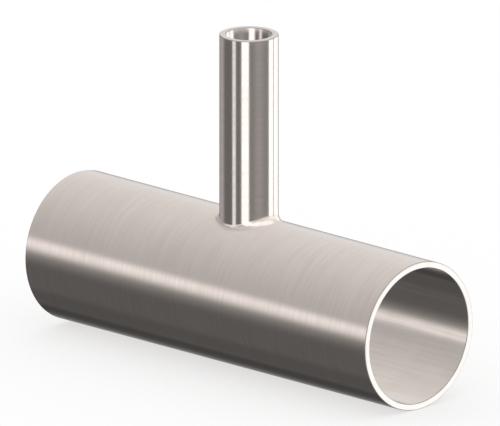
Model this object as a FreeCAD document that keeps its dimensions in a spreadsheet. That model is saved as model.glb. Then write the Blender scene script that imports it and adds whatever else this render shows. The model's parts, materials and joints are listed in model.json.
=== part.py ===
# Reducing tee with plain ends, for welding into thin-walled stainless tube.
# It is one piece: a straight run tube with a small branch pulled out of its wall at mid-length.
# The origin is where the two centre lines cross. The run lies along X, the branch points up +Z.

import FreeCAD, Part
import math
import os
import Sketcher

doc = FreeCAD.newDocument("reducing_tee")


# Driving dimensions in millimetres

SIZES = [
    ("run_od", "38.1", "outside diameter of the run tube, 1-1/2 in"),
    ("run_wall", "1.651", "wall of the run tube, 0.065 in"),
    ("branch_od", "14.85", "outside diameter of the branch tube"),
    ("branch_wall", "1.651", "wall of the branch tube, 0.065 in"),
    ("centre_to_run_end", "60.325", "crossing of the centre lines to either run end, 2-3/8 in"),
    ("centre_to_branch_end", "66.675", "crossing of the centre lines to the branch end, 2-5/8 in"),
    ("collar_radius", "2.0", "outside of the bend where the run's wall turns up into the branch"),
    ("edge_break", "0.15", "chamfer that deburring leaves on the square-cut ends"),
]

sizes = doc.addObject("Spreadsheet::Sheet", "sizes")
for row, (alias, value, meaning) in enumerate(SIZES, 1):
    sizes.set("A%d" % row, alias)
    sizes.set("B%d" % row, value)
    sizes.set("C%d" % row, meaning)
    sizes.setAlias("B%d" % row, alias)
doc.recompute()


# Helpers

def origin_plane(body, role):
    """One of the body's own origin planes, such as XY_Plane."""
    return next(item for item in body.Origin.OriginFeatures if item.Role == role)


def circle_sketch(body, name, plane, diameter):
    """A circle about the origin on one of the body's planes, with its diameter tied to the sizes."""
    sketch = body.newObject("Sketcher::SketchObject", name)
    sketch.AttachmentSupport = [(origin_plane(body, plane), "")]
    sketch.MapMode = "FlatFace"
    start = Part.Circle()
    circle = sketch.addGeometry(start, False)
    # Point 3 of a circle is its centre, and point 1 of -1 is the sketch's origin.
    sketch.addConstraint(Sketcher.Constraint("Coincident", circle, 3, -1, 1))
    across = sketch.addConstraint(Sketcher.Constraint("Diameter", circle, 2 * start.Radius))
    sketch.renameConstraint(across, "across")
    sketch.setExpression("Constraints.across", diameter)
    return sketch


def kind_of(face):
    """What a face is on the tee: a flat end, a straight wall of the run or branch, or a bend."""
    surface = face.Surface
    if surface.TypeId == "Part::GeomPlane":
        return "end"
    if surface.TypeId == "Part::GeomCylinder":
        return "run" if abs(surface.Axis.x) > abs(surface.Axis.z) else "branch"
    return "bend"


def edges_between(feature, first, others):
    """Names of the edges where a face of the first kind meets a face of one of the others."""
    names = []
    for number, edge in enumerate(feature.Shape.Edges, 1):
        kinds = {kind_of(face) for face in feature.Shape.ancestorsOfType(edge, Part.Face)}
        if first in kinds and kinds & others:
            names.append("Edge%d" % number)
    if not names:
        raise RuntimeError(feature.Label + " has no such edge")
    return names


def check_cut(before, pocket):
    """A pocket that points away from the metal cuts nothing and shows no error."""
    if math.isclose(before.Shape.Volume, pocket.Shape.Volume):
        raise RuntimeError(pocket.Label + " cuts nothing")


# Tee body

def tee_body():
    """Both tubes as solid bars, blended outside, then bored through and blended inside."""
    body = doc.addObject("PartDesign::Body", "tee_body")
    body.Label = "tee_body"

    run = body.newObject("PartDesign::Pad", "run")
    run.Profile = circle_sketch(body, "run_outside", "YZ_Plane", "sizes.run_od")
    run.SideType = "Symmetric"
    run.setExpression("Length", "2 * sizes.centre_to_run_end")

    branch = body.newObject("PartDesign::Pad", "branch")
    branch.Profile = circle_sketch(body, "branch_outside", "XY_Plane", "sizes.branch_od")
    branch.setExpression("Length", "sizes.centre_to_branch_end")
    doc.recompute()

    # The saddle-shaped collar: one radius all the way round the crossing of the two walls.
    collar = body.newObject("PartDesign::Fillet", "collar")
    collar.Base = (branch, edges_between(branch, "run", {"branch"}))
    collar.setExpression("Radius", "sizes.collar_radius")
    doc.recompute()

    run_bore = body.newObject("PartDesign::Pocket", "run_bore")
    run_bore.Profile = circle_sketch(body, "run_inside", "YZ_Plane",
                                     "sizes.run_od - 2 * sizes.run_wall")
    run_bore.Type = "ThroughAll"
    run_bore.SideType = "Symmetric"
    doc.recompute()
    check_cut(collar, run_bore)

    branch_bore = body.newObject("PartDesign::Pocket", "branch_bore")
    branch_bore.Profile = circle_sketch(body, "branch_inside", "XY_Plane",
                                        "sizes.branch_od - 2 * sizes.branch_wall")
    branch_bore.Type = "ThroughAll"
    branch_bore.Reversed = True
    doc.recompute()
    check_cut(run_bore, branch_bore)

    # The inside of the same bend. Its radius is larger by the wall, so the wall keeps its
    # thickness as it turns up out of the run.
    throat = body.newObject("PartDesign::Fillet", "throat")
    throat.Base = (branch_bore, edges_between(branch_bore, "run", {"branch"}))
    throat.setExpression("Radius",
                         "sizes.collar_radius + (sizes.run_wall + sizes.branch_wall) / 2")
    doc.recompute()

    ends = body.newObject("PartDesign::Chamfer", "deburred_ends")
    ends.Base = (throat, edges_between(throat, "end", {"run", "branch"}))
    ends.setExpression("Size", "sizes.edge_break")
    doc.recompute()
    return body


parts = [tee_body()]


# Checks, then one file for each piece

for item in doc.Objects:
    if "Invalid" in item.State or "Error" in item.State:
        raise RuntimeError("%s did not build: %s" % (item.Label, item.State))

os.makedirs("parts", exist_ok=True)
for part in parts:
    shape = part.Shape
    if shape.isNull() or not shape.isValid():
        raise RuntimeError(part.Label + " has no valid shape")
    shape.exportStep(os.path.join("parts", part.Label + ".step"))
    print("%s: %.1f mm3, %d faces" % (part.Label, shape.Volume, len(shape.Faces)))
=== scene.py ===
# Reducing tee: polished stainless steel on a white floor, in soft studio light.
#
# The tee is one piece. It is modelled as two skins, outside and inside, each a tube with the branch
# drawn up out of its wall. They are joined at the three cut ends, which are then deburred.
# Polished steel shows little but what it reflects, so much of its look is in the studio round it.

import bpy
import json
import math
from mathutils import Matrix, Vector


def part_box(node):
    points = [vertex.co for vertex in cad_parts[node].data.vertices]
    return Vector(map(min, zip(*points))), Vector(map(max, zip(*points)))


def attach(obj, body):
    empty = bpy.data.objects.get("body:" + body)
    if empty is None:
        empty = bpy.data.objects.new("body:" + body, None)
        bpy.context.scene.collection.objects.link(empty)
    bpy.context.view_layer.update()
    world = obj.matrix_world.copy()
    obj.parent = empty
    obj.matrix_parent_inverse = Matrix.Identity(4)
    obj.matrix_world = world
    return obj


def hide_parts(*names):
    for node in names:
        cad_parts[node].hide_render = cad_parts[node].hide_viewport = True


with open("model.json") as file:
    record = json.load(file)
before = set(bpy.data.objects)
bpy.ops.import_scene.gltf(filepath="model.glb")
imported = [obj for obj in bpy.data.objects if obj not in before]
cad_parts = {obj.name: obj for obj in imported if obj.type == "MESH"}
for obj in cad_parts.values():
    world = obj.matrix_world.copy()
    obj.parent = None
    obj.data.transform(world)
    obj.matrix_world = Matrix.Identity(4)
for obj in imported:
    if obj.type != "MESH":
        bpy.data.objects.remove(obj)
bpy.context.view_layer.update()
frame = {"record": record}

MM = 0.001

# The tee's sizes in metres, from the frame, and the two that the frame doesn't give

TEE_NODE = "tee_body"
RUN_HALF, RUN_R, BRANCH_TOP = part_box(TEE_NODE)[1]
interfaces = {mount["name"]: mount["dims"] for mount in frame["record"]["mounts"]}
RUN_BORE_R = interfaces["run_bore"]["r_mm"] * MM
BRANCH_R = interfaces["branch_end"]["r_mm"] * MM
BRANCH_BORE_R = interfaces["branch_bore"]["r_mm"] * MM
COLLAR_R = 2.0 * MM         # outside of the bend where the branch is pulled out of the run
DEBURR = 0.15 * MM          # rounding that deburring leaves on the cut ends
CUT_ENDS = [(0, RUN_HALF), (0, -RUN_HALF), (2, BRANCH_TOP)]    # axis, and place on it

# How finely the surfaces are divided

AROUND_RUN = 144            # faces round the run, a multiple of four
ALONG_RUN = 96              # faces along the run
PATCH = 32                  # faces along and round the run that the hole for the branch takes
PATCH_RINGS = 8             # rings of faces from the hole's rim to the foot of the bend
BEND_RINGS = 12             # rings of faces round the bend
BRANCH_RINGS = 28           # rings of faces up the branch
RINGS = PATCH_RINGS + BEND_RINGS + BRANCH_RINGS
DEBURR_RINGS = 3            # rings of faces round a deburred edge
PATCH_HALF = RUN_HALF * PATCH / ALONG_RUN
PATCH_TILT = math.pi * PATCH / AROUND_RUN
MERGE = 0.005 * MM          # points closer than this are one

# Marks on the steel. The real ones are too fine for about four pixels to the millimetre, so they are
# drawn coarser, and deeper by about as much, which leaves their slopes as steep as the real ones.

BELT_LINE = 0.9 * MM        # polishing lines, really about 0.08 mm apart from a 180 grit belt
BELT_LENGTH = 20 * MM
BELT_DEPTH = 0.004 * MM     # really about 0.0004 mm
DIE_LINE = 0.9 * MM         # lines that drawing leaves in a bore, really about 0.1 mm apart
DIE_LENGTH = 30 * MM
DIE_DEPTH = 0.003 * MM      # really about 0.0003 mm
FACING_LINE = 0.3 * MM      # turning lines on a faced end, really about 0.1 mm, the feed of the tool
FACING_DEPTH = 0.002 * MM   # really about 0.0007 mm
BRUSH_LINE = 0.2 * MM       # scratches from a deburring brush, really about 0.03 mm, its wires' width
BRUSH_DEPTH = 0.002 * MM    # really about 0.0003 mm
BRANCH_GRAIN = 9.5 * MM     # from the branch's axis outwards, where the branch's own grain ends
RUN_GRAIN = 13 * MM         # and where the run's begins

# The noise that draws them, and the broad clouds that vary the tone and gloss as well

SKIN_CLOUD = 9 * MM         # how broad the clouds are on the polished outside
BORE_CLOUD = 7 * MM
END_CLOUD = 4 * MM          # and on the cut ends and their edges
CLOUD_SHARE = 0.35          # of the clouds in the tone and gloss, the rest being the marks
CLOUD_DETAIL = 2            # layers of finer noise in the clouds
RING_DETAIL = 2             # and in the rings on a faced end
LINE_DETAIL = 3             # and in lines and scratches
LINE_BREAKS = 0.6           # how strong those layers are in the lines, which they break up
NOISE_LOW, NOISE_HIGH = 0.35, 0.65    # nearly all of a noise lies between these

# Where the camera stands, and how the picture is framed

PICTURE_WIDTH = 500
PICTURE_HEIGHT = 426
PIXELS_PER_MM = 3.992       # how large the tee stands in the picture
AZIMUTH = math.radians(45.126)
ELEVATION = math.radians(15.565)
CROSSING_X = 248.45         # pixel that the crossing of the tee's centre lines falls on
CROSSING_Y = 289.78
CAMERA_DISTANCE = 800 * MM


# Mesh work

def edit(obj, kind="FACE"):
    """Readies one object for editing, with nothing selected in it."""
    bpy.ops.object.select_all(action="DESELECT")
    bpy.context.view_layer.objects.active = obj
    obj.select_set(True)
    bpy.ops.object.mode_set(mode="EDIT")
    bpy.ops.mesh.select_mode(type=kind)
    bpy.ops.mesh.select_all(action="DESELECT")
    bpy.ops.object.mode_set(mode="OBJECT")


def run_op(operator, **settings):
    """Runs one mesh operator in edit mode, on what is selected."""
    bpy.ops.object.mode_set(mode="EDIT")
    operator(**settings)
    bpy.ops.object.mode_set(mode="OBJECT")


def on_all(obj, operator, **settings):
    """Runs one mesh operator on the whole of one object."""
    edit(obj)
    run_op(bpy.ops.mesh.select_all, action="SELECT")
    run_op(operator, **settings)


def join(kept, added):
    """Joins one object into another, which keeps its name."""
    bpy.ops.object.select_all(action="DESELECT")
    added.select_set(True)
    kept.select_set(True)
    bpy.context.view_layer.objects.active = kept
    bpy.ops.object.join()


def open_tube(name, sides, radius, base, top, rings, along_run=False):
    """A tube with open ends, cut into rings of faces. It stands on Z, or lies along X."""
    bpy.ops.object.select_all(action="DESELECT")
    bpy.ops.mesh.primitive_cylinder_add(vertices=sides, radius=radius, depth=top - base,
                                        end_fill_type="NOTHING", calc_uvs=False,
                                        location=(0, 0, (base + top) / 2))
    tube = bpy.context.active_object
    tube.name = name
    if along_run:
        tube.rotation_euler.y = math.pi / 2
    bpy.ops.object.transform_apply()
    edit(tube, "EDGE")
    points = tube.data.vertices
    for edge in tube.data.edges:
        reach = points[edge.vertices[0]].co - points[edge.vertices[1]].co
        edge.select = reach.length > (top - base) / 2
    run_op(bpy.ops.mesh.subdivide_edgering, number_cuts=rings - 1, interpolation="LINEAR")
    return tube


def rim_of_hole(turn):
    """A point on the rim of the run's hole: how far along the run, and how far tilted round it."""
    side = round(turn / (math.pi / 2))
    share = turn / (math.pi / 4) - 2 * side
    across, round_run = math.cos(side * math.pi / 2), math.sin(side * math.pi / 2)
    return PATCH_HALF * (across - round_run * share), PATCH_TILT * (round_run + across * share)


def bend(turn, run_r, branch_r):
    """The ball that rolls round the bend: its centre, and where it touches the run and branch."""
    reach = BRANCH_R + COLLAR_R
    across = reach * math.sin(turn)
    height = math.sqrt((RUN_R + COLLAR_R) ** 2 - across ** 2)
    centre = Vector((reach * math.cos(turn), across, height))
    to_run = run_r / (RUN_R + COLLAR_R)
    to_branch = branch_r / reach
    foot = Vector((centre.x, centre.y * to_run, centre.z * to_run))
    neck = Vector((centre.x * to_branch, centre.y * to_branch, centre.z))
    return centre, foot, neck


def outlet_point(turn, ring, run_r, branch_r):
    """A point of the pulled outlet: over the run to the bend, round the bend, up the branch."""
    centre, foot, neck = bend(turn, run_r, branch_r)
    if ring <= PATCH_RINGS:
        share = ring / PATCH_RINGS
        rim_x, rim_tilt = rim_of_hole(turn)
        x = rim_x + (foot.x - rim_x) * share
        tilt = rim_tilt + (math.atan2(foot.y, foot.z) - rim_tilt) * share
        return Vector((x, run_r * math.sin(tilt), run_r * math.cos(tilt)))
    if ring <= PATCH_RINGS + BEND_RINGS:
        share = (ring - PATCH_RINGS) / BEND_RINGS
        outward = (foot - centre).slerp(neck - centre, share)    # its length is 1
        return centre + outward * (foot - centre).length
    share = (ring - PATCH_RINGS - BEND_RINGS) / BRANCH_RINGS
    return neck.lerp(Vector((neck.x, neck.y, BRANCH_TOP)), share)


def tee_skin(name, run_r, branch_r):
    """One skin of the tee, outside or inside: a tube, and the branch drawn up out of its top."""
    run = open_tube(name, AROUND_RUN, run_r, -RUN_HALF, RUN_HALF, ALONG_RUN, along_run=True)
    edit(run)
    for face in run.data.polygons:
        tilt = abs(math.atan2(face.center.y, face.center.z))
        face.select = abs(face.center.x) < PATCH_HALF and tilt < PATCH_TILT
    run_op(bpy.ops.mesh.delete, type="FACE")

    # A bevel can't keep one radius all round a saddle, so each ring of a second tube is laid where
    # it belongs. Its rings stand 1 mm apart, so a point's height says which ring it is on.
    outlet = open_tube(name + "_outlet", 4 * PATCH, branch_r, 0, RINGS * MM, RINGS)
    for point in outlet.data.vertices:
        turn = math.atan2(point.co.y, point.co.x)
        point.co = outlet_point(turn, round(point.co.z / MM), run_r, branch_r)

    join(run, outlet)
    on_all(run, bpy.ops.mesh.remove_doubles, threshold=MERGE)
    on_all(run, bpy.ops.mesh.normals_make_consistent, inside=False)
    return run


def select_end(tee, axis, place, circles_only=False):
    """Selects the edges that lie in one cut end, or only those that run round it."""
    edit(tee, "EDGE")
    for edge in tee.data.edges:
        pair = [tee.data.vertices[index].co.copy() for index in edge.vertices]
        edge.select = all(math.isclose(point[axis], place, abs_tol=MERGE) for point in pair)
        if edge.select and circles_only:
            for point in pair:
                point[axis] = 0
            edge.select = math.isclose(pair[0].length, pair[1].length, abs_tol=MERGE)


def finish_ends(tee):
    """Gives the flat of each cut end its own finish, and the rounded edges beside it theirs, with a
    darker tone painted on as shade.
    """
    faced, deburred = len(tee.data.materials), len(tee.data.materials) + 1
    tee.data.materials.append(faced_stainless_end())
    tee.data.materials.append(deburred_edge_with_painted_shade())
    for face in tee.data.polygons:
        for axis, place in CUT_ENDS:
            depth = abs(face.center[axis] - place)
            if depth < MERGE:
                face.material_index = faced
            elif depth < DEBURR:
                # these rounded edges take the tone that is painted darker as shade
                face.material_index = deburred


def model_tee():
    """The whole fitting: two skins, joined and deburred at its three cut ends."""
    tee = tee_skin("tee", RUN_R, BRANCH_R)
    inside = tee_skin("tee_inside", RUN_BORE_R, BRANCH_BORE_R)
    on_all(inside, bpy.ops.mesh.flip_normals)
    tee.data.materials.append(belt_polished_stainless())
    inside.data.materials.append(drawn_stainless_bore())
    join(tee, inside)

    for axis, place in CUT_ENDS:
        select_end(tee, axis, place)
        run_op(bpy.ops.mesh.bridge_edge_loops)
        select_end(tee, axis, place, circles_only=True)
        run_op(bpy.ops.mesh.bevel, offset=DEBURR, segments=DEBURR_RINGS, affect="EDGES")

    finish_ends(tee)

    # Large faces rule the shading, so that the flat ends stay flat up to their rounded edges.
    bpy.ops.object.shade_smooth()
    modifier = tee.modifiers.new("even shading", "WEIGHTED_NORMAL")
    modifier.weight = 100       # the most that it takes
    bpy.ops.object.modifier_apply(modifier=modifier.name)
    return tee


# Materials

def colour(code):
    """A hex colour as the linear one that a shader takes."""
    shares = [int(code[place:place + 2], 16) / 255 for place in (1, 3, 5)]
    return [s / 12.92 if s <= 0.04045 else ((s + 0.055) / 1.055) ** 2.4 for s in shares] + [1]


def add(tree, kind, inputs=None, **settings):
    """Adds one node. An input is a plain value, or another node's output to link to.

    Inputs whose names repeat on a node go by number. Map Range takes its value, the two ends of its
    range and the two results at 0 to 4. Mix takes its share at 0, and what it mixes at 2 and 3 if
    they are values, and at 6 and 7 if they are colours.
    """
    made = tree.nodes.new("ShaderNode" + kind)
    for name, value in settings.items():
        setattr(made, name, value)
    for socket, value in (inputs or {}).items():
        if isinstance(value, bpy.types.NodeSocket):
            tree.links.new(value, made.inputs[socket])
        else:
            made.inputs[socket].default_value = value
    return made


def new_material(name):
    """A material without nodes, and the tree that they go in."""
    material = bpy.data.materials.new(name)
    material.use_nodes = True
    material.node_tree.nodes.clear()
    return material, material.node_tree


def reach_from(tree, place, axes):
    """How far a point is from the axis that the other two axes are square to."""
    flat = add(tree, "VectorMath", {0: place, 1: axes}, operation="MULTIPLY")
    return add(tree, "VectorMath", {0: flat.outputs[0]}, operation="LENGTH").outputs["Value"]


def near_branch(tree, place):
    """1 on the branch and its collar and 0 on the run, so that each tube has its own grain."""
    reach = reach_from(tree, place, (1, 1, 0))
    beside = add(tree, "MapRange", {0: reach, 1: BRANCH_GRAIN, 2: RUN_GRAIN, 3: 1, 4: 0},
                 interpolation_type="SMOOTHSTEP").outputs[0]
    height = add(tree, "SeparateXYZ", {0: place}).outputs["Z"]
    upper = add(tree, "Math", {0: height, 1: 0}, operation="GREATER_THAN").outputs[0]
    return add(tree, "Math", {0: beside, 1: upper}, operation="MULTIPLY").outputs[0]


def grain(tree, place, along, across):
    """A noise drawn out into marks: their size along the tube that they are on, and across it."""
    marks = []
    for size in ((along, across, across), (across, across, along)):
        drawn_out = add(tree, "Mapping", {"Vector": place, "Scale": [1 / length for length in size]})
        marks.append(add(tree, "TexNoise", {"Vector": drawn_out.outputs[0], "Scale": 1,
                                            "Detail": LINE_DETAIL,
                                            "Roughness": LINE_BREAKS}).outputs[0])
    return add(tree, "Mix", {0: near_branch(tree, place), 2: marks[0], 3: marks[1]}).outputs[0]


def belt_marks(tree, place):
    """Lines round each tube, where the polishing belt ran across it."""
    return grain(tree, place, BELT_LINE, BELT_LENGTH)


def die_marks(tree, place):
    """Lines along each bore, from the plug that the tube was drawn over."""
    return grain(tree, place, DIE_LENGTH, DIE_LINE)


def facing_marks(tree, place):
    """Rings round the axis of whichever tube a cut end belongs to."""
    reach = add(tree, "Mix", {0: near_branch(tree, place), 2: reach_from(tree, place, (0, 1, 1)),
                              3: reach_from(tree, place, (1, 1, 0))}).outputs[0]
    return add(tree, "TexNoise", {"W": reach, "Scale": 1 / FACING_LINE, "Detail": RING_DETAIL},
               noise_dimensions="1D").outputs[0]


def brush_marks(tree, place):
    """Short scratches that cross each other every way."""
    return add(tree, "TexNoise", {"Vector": place, "Scale": 1 / BRUSH_LINE,
                                  "Detail": LINE_DETAIL}).outputs[0]


def stainless(name, tones, roughness, marks, depth, cloud_size):
    """Bare stainless steel. Marks and broad clouds vary its tone and gloss, and marks its relief."""
    material, tree = new_material(name)
    place = add(tree, "TexCoord").outputs["Object"]
    lines = marks(tree, place)
    clouds = add(tree, "TexNoise", {"Vector": place, "Scale": 1 / cloud_size,
                                    "Detail": CLOUD_DETAIL}).outputs[0]
    both = add(tree, "Mix", {0: CLOUD_SHARE, 2: lines, 3: clouds}).outputs[0]
    share = add(tree, "MapRange", {0: both, 1: NOISE_LOW, 2: NOISE_HIGH}).outputs[0]
    tone = add(tree, "Mix", {0: share, 6: colour(tones[0]), 7: colour(tones[1])}, data_type="RGBA")
    gloss = add(tree, "MapRange", {0: share, 1: 0, 2: 1, 3: roughness[0], 4: roughness[1]})
    relief = add(tree, "Bump", {"Height": lines, "Strength": 1, "Distance": depth})
    shader = add(tree, "BsdfPrincipled", {"Base Color": tone.outputs[2], "Metallic": 1,
                                          "Roughness": gloss.outputs[0], "Normal": relief.outputs[0]})
    add(tree, "OutputMaterial", {0: shader.outputs[0]})
    return material


def belt_polished_stainless():
    """Austenitic stainless tube, polished outside with a fine belt that turns round it.

    It mirrors its surroundings in long clear bands, a little softened, and the belt leaves faint
    lines round each tube. The steel is warmer than chrome, and its tone hardly changes.
    """
    return stainless("belt_polished_stainless", ("#DCD2CB", "#D4CAC3"), (0.10, 0.17), belt_marks,
                     BELT_DEPTH, SKIN_CLOUD)


def drawn_stainless_bore():
    """The inside of the same tube, smooth from the plug that it was drawn over, and annealed bright.

    It is a little softer than the polished outside, and its faint lines run along each bore.
    """
    return stainless("drawn_stainless_bore", ("#DCD2CB", "#D2C8C1"), (0.12, 0.20), die_marks,
                     DIE_DEPTH, BORE_CLOUD)


def faced_stainless_end():
    """The tube's wall where a cutter faced it square for welding.

    The cut is cleaner and cooler in tone than the worked skins, with fine rings from the tool.
    """
    return stainless("faced_stainless_end", ("#D3CFCB", "#CBC7C3"), (0.12, 0.20), facing_marks,
                     FACING_DEPTH, END_CLOUD)


def deburred_edge_with_painted_shade():
    """The narrow edge that a wire brush rounded at each side of a cut end.

    Its fine scratches scatter light, and a darker grey painted into its tone stands for shade, so it is
    a dull grey line beside the bright ring and skins.
    """
    # tones painted darker than the steel's, as painted shade along each edge; the higher roughness is
    # the brushed edge's own
    return stainless("deburred_edge_with_painted_shade", ("#A39C96", "#958E88"), (0.40, 0.55), brush_marks,
                     BRUSH_DEPTH, END_CLOUD)


# Studio

# What the steel mirrors is a white tent over a dark table, with cards and light boxes in it.
# Headings go round from +X through +Y and heights up from the horizon, both in degrees, and a level
# of 1 is white. A card has two headings, two heights, how soft its sides are, how soft its top and
# bottom are, and its level. A later card covers the ones before it. The first goes all the way round.

CARDS = {
    "zenith_box": (-160, 250, 76, 120, 10, 10, 1.25),
    "front_fill": (-121, -50, 26, 70, 13, 12, 0.86),
    "overhead_box": (-60, 130, 42, 82, 12, 12, 1.5),
    "overhead_left": (-66, -14, 27, 70, 10, 10, 1.6),
    "left_strip_top": (-124, -112, 6, 24, 4, 6, 1.2),
    "left_strip_foot": (-112.5, -98, -64, -20, 3.2, 10, 0.8),
    "left_strip": (-112.5, -98, -28, 20, 3.2, 8, 1.15),
    "middle_box_foot": (-73.8, -45.2, -64, -20, 3, 10, 0.9),
    "middle_box": (-73.8, -45.2, -28, 40, 3, 8, 1.68),
    "low_glimmer": (-21, 11, -60, -9, 12, 8, 0.41),
    "right_box_foot": (39.8, 108, -64, -20, 3, 10, 0.9),
    "right_box_top": (39.8, 113, -5, 22, 3, 8, 1.42),
    "right_box": (39.8, 108, -28, -5, 3, 7, 1.76),
    "right_box_gap": (64.2, 69.6, -60, 2, 1.5, 4, 0.4),
    "grey_flag": (154, 214, 2, 22, 10, 8, 0.56),
    "far_low_card": (108, 140, -33, -5, 7, 7, 0.38),
    "back_low_card": (160, 200, -26, -5, 10, 10, 0.48),
    "dark_low_card": (146, 170, -52, -35, 7, 7, 0.07),
    "dim_low_card": (172, 203, -58, -42, 6, 4, 0.11),
}
SEAM = 225                  # heading that no card's side crosses

TENT_RISE = (0, 0.238, 0.132)       # how the tent brightens towards the back and overhead
TENT_SIDES = (0.748, 0.98)          # its level on the side of the far end, and of the near end
TENT_TURN = (-0.1, 0.7)             # along X, where the one goes over into the other
GLOW = 0.66                         # how much a low glow in front adds to the tent
GLOW_START, GLOW_FULL = -0.42, -0.69    # along Y, where it starts and where it is full
GLOW_BAND = (-4.5, 8.5, 5)          # heights that it lies between, and its softness
TABLE_SIDES = (0.142, 0.23)         # the table's level towards the far end, and the near end
TABLE_TURN = (-0.4, 0.95)
TABLE_UNDER = 0.4                   # how much paler it is right underneath
UNDER_START, UNDER_FULL = -50, -85
HORIZON = (-22, 8)                  # heights that the table fades into the tent between

FLOOR_SIZE = 6000 * MM
FLOOR_WHITE = 0.62          # share of plain white in the floor as the camera sees it, the rest is lit


def within(tree, value, low, high, soft):
    """1 where a value lies between two edges and 0 outside, with soft edges."""
    rise = add(tree, "MapRange", {0: value, 1: low - soft, 2: low + soft, 3: 0, 4: 1},
               interpolation_type="SMOOTHSTEP").outputs[0]
    fall = add(tree, "MapRange", {0: value, 1: high - soft, 2: high + soft, 3: 1, 4: 0},
               interpolation_type="SMOOTHSTEP").outputs[0]
    return add(tree, "Math", {0: rise, 1: fall}, operation="MULTIPLY").outputs[0]


def tent_level(tree, towards, x, y, height):
    """The tent: paler behind the tee, overhead and at its near end, with a low glow in front."""
    rise = add(tree, "VectorMath", {0: towards, 1: TENT_RISE}, operation="DOT_PRODUCT").outputs["Value"]
    side = add(tree, "MapRange", {0: x, 1: TENT_TURN[0], 2: TENT_TURN[1], 3: TENT_SIDES[0],
                                  4: TENT_SIDES[1]}, interpolation_type="SMOOTHSTEP").outputs[0]
    front = add(tree, "MapRange", {0: y, 1: GLOW_START, 2: GLOW_FULL, 3: 0, 4: GLOW},
                interpolation_type="SMOOTHSTEP").outputs[0]
    band = within(tree, height, *GLOW_BAND)
    glow = add(tree, "Math", {0: band, 1: front}, operation="MULTIPLY").outputs[0]
    tent = add(tree, "Math", {0: rise, 1: side}, operation="ADD").outputs[0]
    return add(tree, "Math", {0: tent, 1: glow}, operation="ADD").outputs[0]


def table_level(tree, x, height):
    """The dark table top, paler right underneath."""
    side = add(tree, "MapRange", {0: x, 1: TABLE_TURN[0], 2: TABLE_TURN[1], 3: TABLE_SIDES[0],
                                  4: TABLE_SIDES[1]}).outputs[0]
    under = add(tree, "MapRange", {0: height, 1: UNDER_START, 2: UNDER_FULL, 3: 0,
                                   4: TABLE_UNDER}).outputs[0]
    return add(tree, "Math", {0: side, 1: under}, operation="ADD").outputs[0]


def studio():
    """Lights the scene evenly with plain white, and gives the steel a studio to mirror."""
    world = bpy.data.worlds.new("studio")
    bpy.context.scene.world = world
    world.use_nodes = True
    tree = world.node_tree
    tree.nodes.clear()
    towards = add(tree, "TexCoord").outputs["Generated"]
    x, y, z = add(tree, "SeparateXYZ", {0: towards}).outputs
    tilt = add(tree, "Math", {0: z}, operation="ARCSINE").outputs[0]
    height = add(tree, "Math", {0: tilt}, operation="DEGREES").outputs[0]
    turn = add(tree, "Math", {0: y, 1: x}, operation="ARCTAN2").outputs[0]
    degrees = add(tree, "Math", {0: turn}, operation="DEGREES").outputs[0]
    heading = add(tree, "Math", {0: degrees, 1: SEAM, 2: SEAM - 360}, operation="WRAP").outputs[0]

    above = add(tree, "MapRange", {0: height, 1: HORIZON[0], 2: HORIZON[1]},
                interpolation_type="SMOOTHSTEP").outputs[0]
    level = add(tree, "Mix", {0: above, 2: table_level(tree, x, height),
                              3: tent_level(tree, towards, x, y, height)}).outputs[0]
    for left, right, low, high, side_soft, end_soft, strength in CARDS.values():
        across = within(tree, heading, left, right, side_soft)
        upward = within(tree, height, low, high, end_soft)
        card = add(tree, "Math", {0: across, 1: upward}, operation="MULTIPLY").outputs[0]
        level = add(tree, "Mix", {0: card, 2: level, 3: strength}).outputs[0]

    rays = add(tree, "LightPath")
    mirrored = add(tree, "Background", {0: colour("#FFFFFF"), 1: level}).outputs[0]
    plain = add(tree, "Background", {0: colour("#FFFFFF"), 1: 1}).outputs[0]
    both = add(tree, "MixShader", {0: rays.outputs["Is Glossy Ray"], 1: plain, 2: mirrored})
    add(tree, "OutputWorld", {0: both.outputs[0]})


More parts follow.
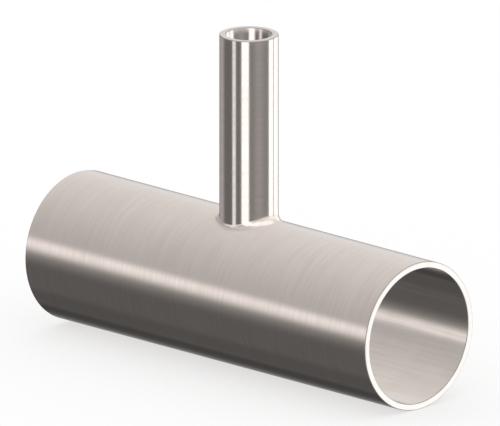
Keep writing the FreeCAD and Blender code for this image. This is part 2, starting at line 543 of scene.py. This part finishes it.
def white_floor():
    """A matt white floor that keeps the tee's shadow.

    It goes over into the white behind it, because the camera sees part of it as plain white. The
    steel mirrors the studio's dark table in its place, so reflections don't meet it.
    """
    bpy.ops.object.select_all(action="DESELECT")
    bpy.ops.mesh.primitive_plane_add(size=FLOOR_SIZE, location=(0, 0, -RUN_R))
    floor = bpy.context.active_object
    floor.name = "floor"
    material, tree = new_material("white_floor")
    rays = add(tree, "LightPath")
    paint = add(tree, "BsdfDiffuse", {0: colour("#FFFFFF")}).outputs[0]
    white = add(tree, "Emission", {0: colour("#FFFFFF"), 1: 1}).outputs[0]
    share = add(tree, "Math", {0: rays.outputs["Is Camera Ray"], 1: FLOOR_WHITE}, operation="MULTIPLY")
    both = add(tree, "MixShader", {0: share.outputs[0], 1: paint, 2: white})
    add(tree, "OutputMaterial", {0: both.outputs[0]})
    floor.data.materials.append(material)
    floor.visible_glossy = False


def photo_camera():
    """A camera with no perspective, because the tee's parallel edges are parallel in the picture."""
    back = Vector((math.sin(AZIMUTH) * math.cos(ELEVATION), -math.cos(AZIMUTH) * math.cos(ELEVATION),
                   math.sin(ELEVATION)))
    right = Vector((math.cos(AZIMUTH), math.sin(AZIMUTH), 0))
    up = back.cross(right)
    # Pixel centres are counted from 0, so the middle of the picture is at half of the count less one.
    sideways = ((PICTURE_WIDTH - 1) / 2 - CROSSING_X) / PIXELS_PER_MM * MM
    upward = (CROSSING_Y - (PICTURE_HEIGHT - 1) / 2) / PIXELS_PER_MM * MM
    camera = bpy.data.cameras.new("camera")
    camera.type = "ORTHO"
    camera.ortho_scale = PICTURE_WIDTH / PIXELS_PER_MM * MM
    stand = bpy.data.objects.new("camera", camera)
    bpy.context.scene.collection.objects.link(stand)
    place = back * CAMERA_DISTANCE + right * sideways + up * upward
    stand.matrix_world = Matrix.Translation(place) @ Matrix((right, up, back)).transposed().to_4x4()
    bpy.context.scene.camera = stand


# The scene

photo_camera()
studio()
white_floor()

tee = model_tee()
# In the picture the steel mirrors its surroundings and never the tee itself: the bores stay pale
# and the branch leaves no streak on the run. So reflections don't meet the tee either.
tee.visible_glossy = False
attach(tee, "root")
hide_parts(TEE_NODE)

bpy.context.scene.view_settings.view_transform = "Standard"
